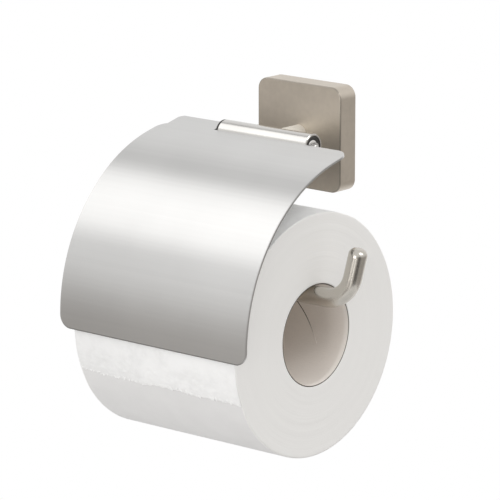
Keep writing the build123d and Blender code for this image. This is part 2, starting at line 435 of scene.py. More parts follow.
@dataclass(frozen=True)
class EdgedPlate(Metal):
    """A plated square with rounded corners, with painted shade on the rounding of its front edge."""

    half_side: float = 0.0
    front: float = 0.0
    corner: float = 5.5 * MM
    rounding: float = 0.6 * MM
    # Share of the colour left in the painted shade on the rounding.
    edge_painted_shade: float = 0.60

    def _with_edges(self, shade: Shade, colour: Socket) -> Socket:
        """Paint shade on the rounding between the front and the sides.

        Args:
            shade: The material's tree.
            colour: The plate's colour.

        Returns:
            The colour with painted shade on the rounding.
        """
        x, y, z = shade.parts(shade.place)
        straight = self.half_side - self.corner
        reach = (abs(x) - straight).at_least(0.0).hypot((abs(z) - straight).at_least(0.0))
        # Painted shade on the rounding of the front edge, dimming the highlight that it catches.
        outer = reach.between(self.corner - self.rounding * 1.2, self.corner - self.rounding * 0.6)
        forward = 1 - y.between(self.front + self.rounding * 0.6, self.front + self.rounding * 1.2)
        return shade.mix(outer * forward, colour, shaded(self.colour, self.edge_painted_shade))


@dataclass(frozen=True)
class MouldedPlastic:
    """A dark moulded plastic with a fine spark-eroded texture."""

    name: str
    colour: Colour
    roughness: float = 0.5
    pits_per_metre: float = 3500.0
    pit_depth: float = 0.02 * MM
    scuffs_per_metre: float = 220.0
    scuff_share: float = 1.9

    def material(self) -> bpy.types.Material:
        """Build the material.

        Returns:
            A new material with pits in its normal and roughness.
        """
        shade = Shade(self.name)
        pits = shade.noise(shade.place, scale=self.pits_per_metre, detail=2.0)
        scuff = shade.noise(shade.place, scale=self.scuffs_per_metre, detail=3.0).between(0.45, 0.75)
        shade.set(
            Base_Color=shade.mix(scuff, self.colour, shaded(self.colour, self.scuff_share)),
            Roughness=self.roughness + pits * 0.15 - scuff * 0.08,
        )
        shade.bump(pits, self.pit_depth)
        return shade.material


@dataclass(frozen=True)
class Tissue:
    """Soft white tissue: fibres, cloudy thickness, the edges of its layers on a roll's end faces, and, where
    it is patchy, painted shade towards its left end.
    """

    name: str
    colour: Colour
    end_colour: Colour
    axis: tuple[float, float]
    half_length: float
    fibres_per_metre: float = 1700.0
    fibre_depth: float = 0.10 * MM
    clouds_per_metre: float = 60.0
    cloud_share: float = 0.035
    # Share of the patches; half of it is also the painted shade towards the left end.
    patchiness_and_left_shade: float = 0.0
    patches_per_metre: float = 45.0
    layers_per_metre: float = 1500.0
    broad_layers: float = 0.15
    end_starts: float = 0.9 * MM
    end_full: float = 0.5 * MM
    end_grey: float = 0.975
    end_pale: float = 1.015
    sheen: float = 0.08
    bump_strength: float = 0.55

    def material(self) -> bpy.types.Material:
        """Build the material.

        Returns:
            A new material that tells the end faces from the wound surface by their place along the axis.
        """
        shade = Shade(self.name)
        x, y, z = shade.parts(shade.place)
        radius = (y - self.axis[0]).hypot(z - self.axis[1])
        at_end = abs(x).between(self.half_length - self.end_starts, self.half_length - self.end_full)
        fibres = shade.noise(shade.place, scale=self.fibres_per_metre, detail=4.0)
        cloud = shade.noise(shade.place, scale=self.clouds_per_metre, detail=4.0).between(0.3, 0.7)
        fine = shade.noise(shade.vector(radius * self.layers_per_metre, 0.0, 0.0), detail=3.0)
        broad_per_metre = self.layers_per_metre * self.broad_layers
        broad = shade.noise(shade.vector(radius * broad_per_metre, 0.0, 0.0), detail=2.0)
        layers = (fine * 0.6 + broad * 0.4).between(0.25, 0.75)
        patch = shade.noise(shade.place, scale=self.patches_per_metre, detail=2.0).between(0.38, 0.60)
        marked = 1 - (1 - patch * (1 - x.between(0.0, self.half_length) * 0.6)) * self.patchiness_and_left_shade
        thin = shaded(self.colour, 1 - self.cloud_share)
        even = 1 - (1 - cloud * 0.6 - fibres * 0.4) * marked
        # Painted shade: the colour gets darker towards the left end, as the fall of light across the sheet.
        left = 1 - x.between(-self.half_length, 0.4 * self.half_length)
        wound = shade.mix(even * (1 - left * (self.patchiness_and_left_shade * 0.5)), thin, shaded(self.colour, 1.02))
        grey, pale = shaded(self.end_colour, self.end_grey), shaded(self.end_colour, self.end_pale)
        ends = shade.mix(layers * 0.7 + fibres * 0.3, grey, pale)
        shade.set(
            Base_Color=shade.mix(at_end, wound, ends),
            Roughness=0.88 + fibres * 0.12,
            Specular_IOR_Level=0.2,
            Sheen_Weight=self.sheen,
        )
        shade.bump(fibres * marked * 0.5 + layers * at_end * 0.5, self.fibre_depth, self.bump_strength)
        return shade.material


@dataclass(frozen=True)
class Board:
    """Grey-brown recycled board with flecks and fibres, and dark cut ends, partly the board's own cut and
    partly painted shade of the gap between core and paper.
    """

    name: str
    colour: Colour
    fleck: Colour
    # Colour of the cut ends: partly the board's own cut, partly painted shade of the gap between core and
    # paper.
    cut_and_gap_shade_colour: Colour
    half_length: float
    fibre_depth: float = 0.05 * MM
    cut_starts: float = 0.06 * MM
    cut_full: float = 0.02 * MM
    fibres_per_metre: tuple[float, float, float] = (500.0, 1800.0, 1800.0)
    flecks_per_metre: tuple[float, float, float] = (700.0, 1500.0, 1500.0)
    fleck_share: float = 0.16
    clouds_per_metre: float = 70.0
    uneven: float = 0.06
    bump_strength: float = 0.6

    def material(self) -> bpy.types.Material:
        """Build the material.

        Returns:
            A new material with flecks in its colour and fibres in its normal.
        """
        shade = Shade(self.name)
        x, _, _ = shade.parts(shade.place)
        # Painted shade: the cut ends are dark, partly the board's own cut and partly the shade in the gap
        # between core and paper.
        cut = abs(x).between(self.half_length - self.cut_starts, self.half_length - self.cut_full)
        fibres = shade.noise(shade.stretched(self.fibres_per_metre), detail=4.0)
        cloud = shade.noise(shade.place, scale=self.clouds_per_metre, detail=3.0)
        flecks = shade.noise(shade.stretched(self.flecks_per_metre), detail=3.0).between(0.62, 0.80)
        dark, light = shaded(self.colour, 1 - self.uneven), shaded(self.colour, 1 + self.uneven)
        body = shade.mix(cloud * 0.5 + fibres * 0.5, dark, light)
        flecked = shade.mix(flecks * self.fleck_share, body, self.fleck)
        shade.set(
            Base_Color=shade.mix(cut, flecked, self.cut_and_gap_shade_colour),
            Roughness=0.80 + fibres * 0.15,
            Specular_IOR_Level=0.25,
        )
        shade.bump(fibres, self.fibre_depth, self.bump_strength)
        return shade.material


@dataclass(frozen=True)
class SeamShadow:
    """The dark open joint of a spiral wound core, which closes towards one end."""

    name: str
    dark: Colour
    closed: Colour
    fade_from: float
    fade_to: float
    grime_per_metre: float = 900.0
    grime_reach: float = 4.0 * MM

    def material(self) -> bpy.types.Material:
        """Build the material.

        Returns:
            A new matt material that turns from dark to the board's own colour along the core.
        """
        shade = Shade(self.name)
        x, _, _ = shade.parts(shade.place)
        grime = shade.noise(shade.place, scale=self.grime_per_metre, detail=2.0)
        fade = (x + grime * self.grime_reach).between(self.fade_from, self.fade_to)
        shade.set(Base_Color=shade.mix(fade, self.dark, self.closed), Roughness=0.85 + grime * 0.1)
        return shade.material


class Recipe(Graph):
    """A geometry node tree with named sizes that ends in one plain mesh."""

    seam_gap: float = 0.002 * MM

    def __init__(self, name: str, finish: bpy.types.Material, **sizes: float) -> None:
        """Start a tree.

        Args:
            name: Name of the tree and of the piece that it makes.
            finish: Material of the piece.
            sizes: The tree's named inputs; whole numbers are counts.
        """
        super().__init__(bpy.data.node_groups.new(name, "GeometryNodeTree"))
        self.name = name
        self.given = {}
        for label, size in sizes.items():
            kind = "NodeSocketInt" if isinstance(size, int) else "NodeSocketFloat"
            self._input(label, kind, size)
        self._input("finish", "NodeSocketMaterial", finish)
        self.tree.interface.new_socket("geometry", in_out="OUTPUT", socket_type="NodeSocketGeometry")
        self.source = self.tree.nodes.new("NodeGroupInput")
        self.result = self.tree.nodes.new("NodeGroupOutput")

    def _input(self, label: str, kind: str, given: Any) -> None:
        """Declare one named input and keep what it is given, by its identifier."""
        item = self.tree.interface.new_socket(label, in_out="INPUT", socket_type=kind)
        self.given[item.identifier] = given

    def size(self, label: str) -> Value:
        """A named input as a value."""
        return Value(self, self.source.outputs[label])

    def grid(self, count_u: str, count_v: str) -> tuple[Socket, Value, Value]:
        """A flat grid to be bent by a rule.

        Args:
            count_u: Name of the input with the number of points along the first side.
            count_v: Name of the input with the number of points along the second side.

        Returns:
            The mesh and the two places on it, from 0 to 1.
        """
        mesh = self.node(
            "GeometryNodeMeshGrid",
            inputs={
                "Size X": 1.0,
                "Size Y": 1.0,
                "Vertices X": self.size(count_u),
                "Vertices Y": self.size(count_v),
            },
        ).outputs[0]
        x, y, _ = self.parts(self.node("GeometryNodeInputPosition").outputs[0])
        return mesh, x + 0.5, y + 0.5

    def index(self) -> Value:
        """Each point's own number."""
        return Value(self, self.node("GeometryNodeInputIndex").outputs[0])

    def placed(self, geometry: Socket, x: Number, y: Number, z: Number) -> Socket:
        """Put every point of a geometry where a rule says.

        Args:
            geometry: The points' geometry.
            x: Place along the wall.
            y: Place into the wall.
            z: Height.

        Returns:
            The moved geometry.
        """
        return self.node(
            "GeometryNodeSetPosition", inputs={"Geometry": geometry, "Position": self.vector(x, y, z)}
        ).outputs[0]

    def swept(self, curve: Socket, radius: Number, sides: int) -> Socket:
        """Run a round bead along a curve.

        Args:
            curve: The path.
            radius: The bead's radius.
            sides: Number of the bead's sides.

        Returns:
            The closed mesh.
        """
        ring = self.node("GeometryNodeCurvePrimitiveCircle", inputs={"Resolution": sides, "Radius": radius})
        return self.node(
            "GeometryNodeCurveToMesh",
            inputs={"Curve": curve, "Profile Curve": ring.outputs[0], "Fill Caps": True},
        ).outputs[0]

    def turned(self, profile: list[tuple[Number, Number]], centre: tuple[float, float]) -> Socket:
        """A solid of revolution about a line along X.

        Args:
            profile: Places along the line with the radius there, in order, with rising places on the outside.
            centre: The line's y and z.

        Returns:
            The closed surface; it takes the inputs points_round and points_strip.
        """
        strips = []
        for (x_from, radius_from), (x_to, radius_to) in zip(profile, profile[1:]):
            mesh, u, v = self.grid("points_round", "points_strip")
            angle = u * TURN
            radius = v * (radius_to - radius_from) + radius_from
            x = v * (x_to - x_from) + x_from
            y, z = centre[0] + radius * angle.cos(), centre[1] + radius * angle.sin()
            strips.append(self.placed(mesh, x, y, z))
        return self.merged(*strips)

    def merged(self, *pieces: Socket) -> Socket:
        """Join meshes and close the seams between them.

        Args:
            pieces: The meshes.

        Returns:
            One mesh.
        """
        joined = self.node("GeometryNodeJoinGeometry", inputs={"Geometry": list(pieces)})
        return self.node(
            "GeometryNodeMergeByDistance", inputs={"Geometry": joined.outputs[0], "Distance": self.seam_gap}
        ).outputs[0]

    def random(self, low: float, high: float, salt: int) -> Value:
        """Draw a number for each point, the same on every run.

        Args:
            low: Least number.
            high: Greatest number.
            salt: Added to the tree's seed, so that draws differ.

        Returns:
            The number.
        """
        node = self.node(
            "FunctionNodeRandomValue",
            {"data_type": "FLOAT"},
            {"Min_001": low, "Max_001": high, "Seed": self.size("seed") + salt},
        )
        return Value(self, self.find(node.outputs, "Value_001"))

    def piece(self, geometry: Socket) -> bpy.types.Object:
        """End the tree and turn it into a plain mesh.

        Args:
            geometry: The socket with the finished geometry.

        Returns:
            An object at the origin, with no modifier left.
        """
        real = self.node("GeometryNodeRealizeInstances", inputs={"Geometry": geometry})
        smooth = self.node("GeometryNodeSetShadeSmooth", inputs={"Geometry": real.outputs[0]})
        dressed = self.node(
            "GeometryNodeSetMaterial",
            inputs={"Geometry": smooth.outputs[0], "Material": self.source.outputs["finish"]},
        )
        self.tree.links.new(dressed.outputs[0], self.result.inputs[0])
        holder = bpy.data.objects.new(self.name + "_rule", bpy.data.meshes.new(self.name + "_rule"))
        bpy.context.scene.collection.objects.link(holder)
        modifier = holder.modifiers.new("rule", "NODES")
        modifier.node_group = self.tree
        for identifier, given in self.given.items():
            modifier[identifier] = given
        bpy.context.view_layer.update()
        evaluated = holder.evaluated_get(bpy.context.evaluated_depsgraph_get())
        mesh = bpy.data.meshes.new_from_object(evaluated)
        bpy.data.objects.remove(holder)
        mesh.name = self.name
        made = bpy.data.objects.new(self.name, mesh)
        bpy.context.scene.collection.objects.link(made)
        return made


def dress(node: str, material: bpy.types.Material) -> None:
    """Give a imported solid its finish.

    Args:
        node: Name of the solid.
        material: Its material.
    """
    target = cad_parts[node]
    target.data.materials.clear()
    target.data.materials.append(material)
    LOG.info("solid %s wears %s", node, material.name)


def settle(piece: bpy.types.Object, body: Body, slot: str, *stands_for: str) -> None:
    """Let a new piece ride on its body.

    Args:
        piece: The piece.
        body: The body that carries it.
        slot: The record's material slot for the piece; not used.
        stands_for: Solids that it replaces.
    """
    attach(piece, body.value)
    if stands_for:
        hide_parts(*stands_for)
    LOG.info("piece %s rides on %s, %d faces", piece.name, body.value, len(piece.data.polygons))


@dataclass
class PaperRoll:
    """The wound tissue, its outermost sheet with a torn end, and the spiral core."""

    body: Body = Body.PAPER
    core_wall: float = 0.9 * MM
    board_thickness: float = 0.6 * MM
    core_sunk: float = 0.15 * MM
    edge: float = 0.5 * MM
    stands_out: float = 0.08 * MM
    core_play: float = 0.03 * MM
    looseness: float = 0.12 * MM
    swelling: float = 0.37 * MM
    layer_step: float = 0.28 * MM
    layers_per_metre: float = 330.0
    emboss_pitch: float = 5.2 * MM
    emboss_depth: float = 0.03 * MM
    sheet_thickness: float = 0.14 * MM
    sheet_sunk: float = 0.22 * MM
    sheet_feather: float = 1.5 * MM
    side_feather: float = 0.3 * MM
    outside_limit: float = 0.25 * MM
    inside_limit: float = 0.1 * MM
    sheet_wrap: float = 130.0
    tear_angle: float = 23.2
    tear_depth: float = 5.0 * MM
    tears_per_metre: float = 70.0
    perforation_pitch: float = 4.1 * MM
    perforation_depth: float = 0.4 * MM
    crinkle_depth: float = 0.5 * MM
    crinkles_per_metre: float = 300.0
    lift: float = 0.14 * MM
    lift_reach: float = 9.0 * MM
    tufts: int = 64
    tuft_radius: float = 0.9 * MM
    tuft_sunk: float = 0.10 * MM
    tuft_flatness: float = 0.18
    rim: float = 0.08 * MM
    dent_outside: float = 0.02 * MM
    dent_inside: float = 0.3 * MM
    seam_end: float = 32.0 * MM
    seam_fades: tuple[float, float] = (25.0 * MM, 33.0 * MM)
    seam_inset: float = 0.4 * MM
    seam_sunk: float = 0.10 * MM
    seam_start: float = 24.0 * MM
    seam_pitch: float = 103.0 * MM
    seam_radius: float = 0.26 * MM
    seed: int = 7
    paper: Tissue = field(init=False)
    torn_paper: Tissue = field(init=False)
    tuft_paper: Tissue = field(init=False)
    board: Board = field(init=False)

    def __post_init__(self) -> None:
        """Read the roll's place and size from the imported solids."""
        low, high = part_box("paper_roll")
        self.half = (high.x - low.x) / 2
        self.axis_y = (low.y + high.y) / 2
        self.axis_z = (low.z + high.z) / 2
        self.radius = (high.z - low.z) / 2
        low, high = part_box("core_tube")
        self.bore_radius = (high.z - low.z) / 2 - self.core_wall
        self.core_radius = self.bore_radius + self.board_thickness
        low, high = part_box("tail_sheet")
        self.sheet_half = (high.x - low.x) / 2
        self.sheet_radius = self.axis_y - low.y
        axis = (self.axis_y, self.axis_z)
        self.paper = Tissue("tissue", (0.80, 0.795, 0.79), (0.89, 0.88, 0.86), axis, self.half)
        white = (0.94, 0.94, 0.935)
        self.torn_paper = Tissue(
            "torn_tissue",
            colour=white,
            end_colour=white,
            axis=axis,
            half_length=self.half,
            fibres_per_metre=600.0,
            fibre_depth=1.0 * MM,
            clouds_per_metre=260.0,
            cloud_share=0.11,
            patchiness_and_left_shade=0.8,
        )
        self.tuft_paper = Tissue("tuft_tissue", (0.97, 0.97, 0.965), white, axis, self.half)
        rim = self.half - self.core_sunk
        self.board = Board(
            "core_board",
            colour=(0.82, 0.767, 0.713),
            fleck=(0.25, 0.21, 0.18),
            # Dark cut ends: partly the board's own cut, partly painted shade of the gap between core and
            # paper.
            cut_and_gap_shade_colour=(0.11, 0.095, 0.08),
            half_length=rim,
        )
        self.tear_turn = math.radians(180 + self.tear_angle)
        self.start_turn = self.tear_turn - math.radians(self.sheet_wrap)

    def _ring_place(self, x: Number, radius: Number, angle: Value) -> tuple[Number, Number, Number]:
        """A point given by its place along the roll's axis, its radius and its angle from the back."""
        return x, self.axis_y + radius * angle.cos(), self.axis_z + radius * angle.sin()

    def _emboss(self, angle: Value, x: Value) -> Value:
        """Height of the pressed pattern of small pillows, from -1 to 1."""
        rows = round(TURN * self.sheet_radius / self.emboss_pitch)
        return (angle * rows).cos() * (x * (TURN / self.emboss_pitch)).cos()

    def wound(self) -> bpy.types.Object:
        """Build the wound paper.

        Returns:
            A closed ring with soft edges, embossing and uneven layers on its end faces.
        """
        recipe = Recipe(
            "wound_paper",
            self.paper.material(),
            outer=self.radius + self.stands_out,
            inner=self.core_radius + self.core_play,
            half=self.half,
            edge=self.edge,
            emboss=self.emboss_depth,
            looseness=self.looseness,
            swelling=self.swelling,
            layer_step=self.layer_step,
            points_round=301,
            points_along=111,
            points_face=64,
            points_bore=3,
        )
        outer, inner, half, edge = (recipe.size(label) for label in ("outer", "inner", "half", "edge"))

        def slack(angle: Value, x: Value) -> Value:
            """Slow unevenness of the winding, from -0.5 to 0.5."""
            spot = recipe.vector(angle.cos() * 1.6, angle.sin() * 1.6, x * 18.0)
            return recipe.noise(spot, detail=1.0) - 0.5

        mesh, u, v = recipe.grid("points_round", "points_along")
        angle = u * TURN
        across = v * 2 - 1
        x = across * (1.5 - across * across * 0.5) * half
        into_edge = (edge - (half - abs(x))).at_least(0.0)
        rounding = edge - (edge * edge - into_edge * into_edge).at_least(0.0).root()
        clear_of_edge = 1 - (into_edge / edge)
        relief = self._emboss(angle, x) * recipe.size("emboss") * clear_of_edge
        wave = slack(angle, x) * recipe.size("looseness") * clear_of_edge
        past_tear = angle.between(self.tear_turn + 0.01, self.tear_turn + 0.2)
        before_start = 1 - angle.between(self.start_turn - 0.24, self.start_turn - 0.06)
        bare = past_tear.at_least(before_start)
        radius = outer - rounding + relief + wave + bare * recipe.size("swelling") * clear_of_edge
        side = recipe.placed(mesh, *self._ring_place(x, radius, angle))
        faces = [side]
        for end in (1, -1):
            mesh, u, v = recipe.grid("points_round", "points_face")
            angle = u * TURN
            share = (1 - v) if end > 0 else v
            radius = inner + (outer - edge - inner) * share
            rim = (share * (1 - share) * 12.0).at_most(1.0)
            spot = recipe.vector(radius * self.layers_per_metre, angle.cos() * 0.5, angle.sin() * 0.5 + end)
            step = (recipe.noise(spot, detail=2.0) - 0.5) * recipe.size("layer_step") * rim
            faces.append(recipe.placed(mesh, *self._ring_place((half + step) * end, radius, angle)))
        mesh, u, v = recipe.grid("points_round", "points_bore")
        angle = u * TURN
        faces.append(recipe.placed(mesh, *self._ring_place((1 - v * 2) * half, inner, angle)))
        return recipe.piece(recipe.merged(*faces))

    def _tear(self, recipe: Recipe, x: Value) -> Value:
        """Follow the ragged tear.

        Args:
            recipe: The tree, with the inputs tear_depth and perforation_depth.
            x: Place along the roll.

        Returns:
            How far the torn end reaches past the straight line, in metres along the paper.
        """
        ragged = recipe.noise(recipe.vector(x * self.tears_per_metre, 0.37, 0.0), detail=4.0) - 0.5
        bite = (x / self.perforation_pitch).zigzag(0.5) * 2 - 0.5
        return ragged * recipe.size("tear_depth") + bite * recipe.size("perforation_depth")

    def _end_angle(self, recipe: Recipe, x: Value) -> Value:
        """Angle of the torn end at a place along the roll."""
        return self.tear_turn + self._tear(recipe, x) / self.sheet_radius

    def _lift(self, recipe: Recipe, x: Value, to_tear: Value) -> Value:
        """Height of the loose end over the roll, in metres: it stands off towards the open end of the arm."""
        near_tear = 1 - to_tear.between(0.0, self.lift_reach)
        return near_tear * (x.between(-35 * MM, 25 * MM) * 1.9 - 0.9) * recipe.size("lift")

    def last_sheet(self, finish: bpy.types.Material) -> bpy.types.Object:
        """Build the outermost sheet.

        Args:
            finish: Its material.

        Returns:
            A thin closed sheet that lies on the roll and ends in a ragged tear.
        """
        recipe = Recipe(
            "last_sheet",
            finish,
            radius=self.sheet_radius - self.sheet_sunk,
            half=self.sheet_half,
            thickness=self.sheet_thickness,
            tear_depth=self.tear_depth,
            perforation_depth=self.perforation_depth,
            emboss=self.emboss_depth,
            crinkle=self.crinkle_depth,
            lift=self.lift,
            points_across=260,
            points_along=150,
        )
        half = recipe.size("half")
        start = self.start_turn
        fine = self.crinkles_per_metre
        sides = []
        for outside in (True, False):
            mesh, u, v = recipe.grid("points_across", "points_along")
            across = u * 2 - 1 if outside else 1 - u * 2
            x = across * (1.5 - across * across * 0.5) * half
            end = self._end_angle(recipe, x)
            angle = start + (end - start) * (1 - (1 - v) ** 1.6)
            to_tear = (end - angle) * self.sheet_radius
            to_start = (angle - start) * self.sheet_radius
            to_end = to_tear.at_most(to_start) / self.sheet_feather
            feather = to_end.at_most((half - abs(x)) / self.side_feather)
            spot = recipe.vector(x * fine, angle * (self.sheet_radius * fine), 2.0)
            patch = recipe.noise(recipe.vector(x * 60.0, angle * 3.5, 5.0), detail=1.0).between(0.35, 0.65)
            near_tear = to_tear.between(0.0, 5 * MM) * (1 - to_tear.between(6 * MM, 18 * MM))
            crinkle = recipe.noise(spot, detail=2.0).between(0.35, 0.75) * (patch * 0.8 + 0.2) * near_tear
            relief = self._emboss(angle, x) * recipe.size("emboss") + crinkle * recipe.size("crinkle")
            radius = recipe.size("radius") + relief + self._lift(recipe, x, to_tear)
            if outside:
                radius = radius + feather.at_most(1.0) * recipe.size("thickness")
            limit = self.outside_limit if outside else self.inside_limit
            radius = radius.at_most(self.sheet_radius + limit)
            sides.append(recipe.placed(mesh, *self._ring_place(x, radius, angle)))
        return recipe.piece(recipe.merged(*sides))

    def torn_fibres(self, finish: bpy.types.Material) -> bpy.types.Object:
        """Build the tufts of fibre along the tear.

        Args:
            finish: Their material.

        Returns:
            Many small flat tufts as one mesh, larger towards the open end of the arm.
        """
        recipe = Recipe(
            "torn_fibres",
            finish,
            half=self.sheet_half - self.side_feather,
            radius=self.sheet_radius - self.tuft_sunk,
            tear_depth=self.tear_depth,
            perforation_depth=self.perforation_depth,
            lift=self.lift,
            tuft_radius=self.tuft_radius,
            tufts=self.tufts,
            seed=self.seed,
        )
        line = recipe.node("GeometryNodeMeshLine", inputs={"Count": recipe.size("tufts")}).outputs[0]
        along = recipe.index() / (recipe.size("tufts") - 1)
        x = (along * 2 - 1) * (recipe.size("half") - 1.5 * MM) + recipe.random(-1.4 * MM, 1.4 * MM, 1)
        angle = self._end_angle(recipe, x) - recipe.random(0.2 * MM, 1.4 * MM, 5) / self.sheet_radius
        radius = recipe.size("radius") + self._lift(recipe, x, x * 0.0)
        points = recipe.placed(line, *self._ring_place(x, radius, angle))
        tuft = recipe.node(
            "GeometryNodeMeshIcoSphere", inputs={"Radius": recipe.size("tuft_radius"), "Subdivisions": 3}
        ).outputs[0]
        end = self.tear_turn
        down = recipe.vector(recipe.random(-1.5, 1.5, 2), -math.sin(end), math.cos(end))
        hanging = recipe.node("FunctionNodeAlignRotationToVector", {"axis": "Z"}, {"Vector": down}).outputs[0]
        outwards = (0.0, math.cos(end), math.sin(end))
        turned = recipe.node(
            "FunctionNodeAlignRotationToVector",
            {"axis": "X", "pivot_axis": "Z"},
            {"Rotation": hanging, "Vector": outwards},
        ).outputs[0]
        long = recipe.random(0.0, 1.0, 4) ** 2 * (0.4 + x.between(-45 * MM, 20 * MM) * 0.6)
        grown = recipe.node(
            "GeometryNodeInstanceOnPoints",
            inputs={
                "Points": points,
                "Instance": tuft,
                "Rotation": turned,
                "Scale": recipe.vector(self.tuft_flatness, 0.25 + long * 0.45, 0.3 + long * 1.3),
            },
        ).outputs[0]
        return recipe.piece(grown)

    def core(self) -> bpy.types.Object:
        """Build the core.

        Returns:
            A board tube with slightly uneven, softly rounded rims.
        """
        recipe = Recipe(
            "spiral_core",
            self.board.material(),
            outer=self.core_radius,
            inner=self.bore_radius,
            half=self.half - self.core_sunk,
            rim=self.rim,
            points_round=241,
            points_along=33,
            points_rim=5,
        )
        outer, inner, half = (recipe.size(label) for label in ("outer", "inner", "half"))
        walls = []
        for outside in (True, False):
            mesh, u, v = recipe.grid("points_round", "points_along")
            angle = u * TURN
            x = (v * 2 - 1) * half if outside else (1 - v * 2) * half
            into_rim = (recipe.size("rim") - (half - abs(x))).at_least(0.0)
            spot = recipe.vector(angle.cos() * 1.2, angle.sin() * 1.2, x * 25.0)
            depth = self.dent_outside if outside else self.dent_inside
            dent = (recipe.noise(spot) - 0.5) * depth * (1 - into_rim / recipe.size("rim"))
            radius = (outer - into_rim + dent) if outside else (inner + into_rim + dent)
            walls.append(recipe.placed(mesh, *self._ring_place(x, radius, angle)))
        for end in (1, -1):
            mesh, u, v = recipe.grid("points_round", "points_rim")
            angle = u * TURN
            share = (1 - v) if end > 0 else v
            span = outer - inner - recipe.size("rim") * 2
            radius = inner + recipe.size("rim") + span * share
            walls.append(recipe.placed(mesh, *self._ring_place(half * end, radius, angle)))
        return recipe.piece(recipe.merged(*walls))

    def core_seam(self) -> bpy.types.Object:
        """Build the open joint of the spiral winding inside the core.

        Returns:
            A fine dark bead that follows one helix along the bore.
        """
        closed = shaded(self.board.colour, 0.95)
        finish = SeamShadow("seam_shadow", (0.045, 0.035, 0.03), closed, *self.seam_fades)
        recipe = Recipe(
            "core_seam",
            finish.material(),
            left=-self.half + self.core_sunk + self.seam_inset,
            right=self.seam_end,
            radius=self.bore_radius + self.seam_sunk,
            pitch=self.seam_pitch,
            start=self.seam_start,
            bead=self.seam_radius,
            points=181,
        )
        line = recipe.node("GeometryNodeMeshLine", inputs={"Count": recipe.size("points")}).outputs[0]
        along = recipe.index() / (recipe.size("points") - 1)
        x = recipe.size("left") + along * (recipe.size("right") - recipe.size("left"))
        angle = (recipe.size("start") - x) / recipe.size("pitch") * TURN
        points = recipe.placed(line, *self._ring_place(x, recipe.size("radius"), angle))
        helix = recipe.node("GeometryNodeMeshToCurve", inputs={0: points}).outputs[0]
        return recipe.piece(recipe.swept(helix, recipe.size("bead"), 6))

    def build(self) -> None:
        """Make the roll's pieces and set them on their body."""
        settle(self.wound(), self.body, "roll_paper", "paper_roll")
        tissue = self.torn_paper.material()
        sheet = self.last_sheet(tissue)
        settle(sheet, self.body, "roll_paper", "tail_sheet")
        fibres = self.torn_fibres(self.tuft_paper.material())
        settle(fibres, self.body, "roll_paper")
        settle(self.core(), self.body, "core_board", "core_tube")
        settle(self.core_seam(), self.body, "core_board")


@dataclass
class WallMount:
    """The wall plate with its bracket and screws."""

    nickel: Colour = (0.60, 0.54, 0.463)
    roughness: float = 0.40
    zinc: Metal = Metal(
        "zinc_steel",
        colour=(0.62, 0.63, 0.65),
        roughness=0.30,
        grain=Grain.ALONG_X,
        lines_per_metre=1500.0,
        line_depth=0.008 * MM,
        roughness_swing=0.16,
        mottle_per_metre=160.0,
        mottle_share=0.16,
    )
    dark: Metal = Metal("dark_steel", colour=(0.16, 0.16, 0.17), roughness=0.42)

    def plate_finish(self) -> EdgedPlate:
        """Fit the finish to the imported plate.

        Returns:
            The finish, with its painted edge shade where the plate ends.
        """
        low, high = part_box("wall_plate")
        return EdgedPlate(
            "satin_nickel",
            self.nickel,
            self.roughness,
            lines_per_metre=1800.0,
            line_depth=0.010 * MM,
            half_side=(high.x - low.x) / 2,
            front=low.y,
        )

    def build(self) -> None:
        """Dress the mount's solids."""
        zinc = self.zinc.material()
        dress("wall_plate", self.plate_finish().material())
        dress("wall_bracket", zinc)
        dress("neck_screw", zinc)
        dress("neck_washer", zinc)
        dress("set_screw", self.dark.material())


